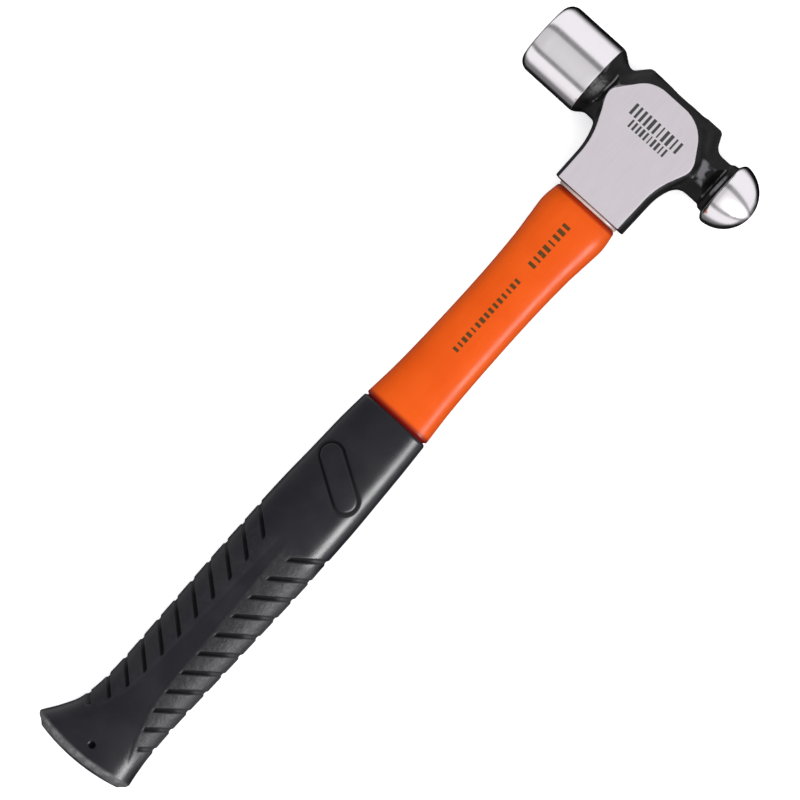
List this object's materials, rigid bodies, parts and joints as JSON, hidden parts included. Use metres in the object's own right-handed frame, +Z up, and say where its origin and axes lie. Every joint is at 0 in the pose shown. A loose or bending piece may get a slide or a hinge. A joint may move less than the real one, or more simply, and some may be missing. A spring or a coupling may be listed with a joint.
{
  "type": "ball peen hammer",
  "caption": "Ball peen hammer: forged steel head with a round striking face and a ball peen, on a fibreglass handle with an orange jacket and a black ribbed rubber grip.",
  "frame": {"origin": "middle of the base of the bounding box, with the hammer lying on its cheek", "axes": "+X along the handle towards the head, +Y the way the striking face looks, +Z up, square to both cheeks"},
  "size_m": [0.324, 0.1, 0.0295],
  "materials": {
    "forged_steel": "satin",
    "glass_fibre": "satin",
    "orange_jacket": "gloss",
    "clear_resin": "gloss",
    "seal_resin": "satin",
    "black_rubber": "matte"
  },
  "bodies": {
    "root": {"hammer_head": "forged_steel", "handle_core": "glass_fibre", "handle_jacket": "orange_jacket", "eye_resin": "clear_resin", "eye_seal_ring": "seal_resin", "grip": "black_rubber"}
  },
  "joints": []
}
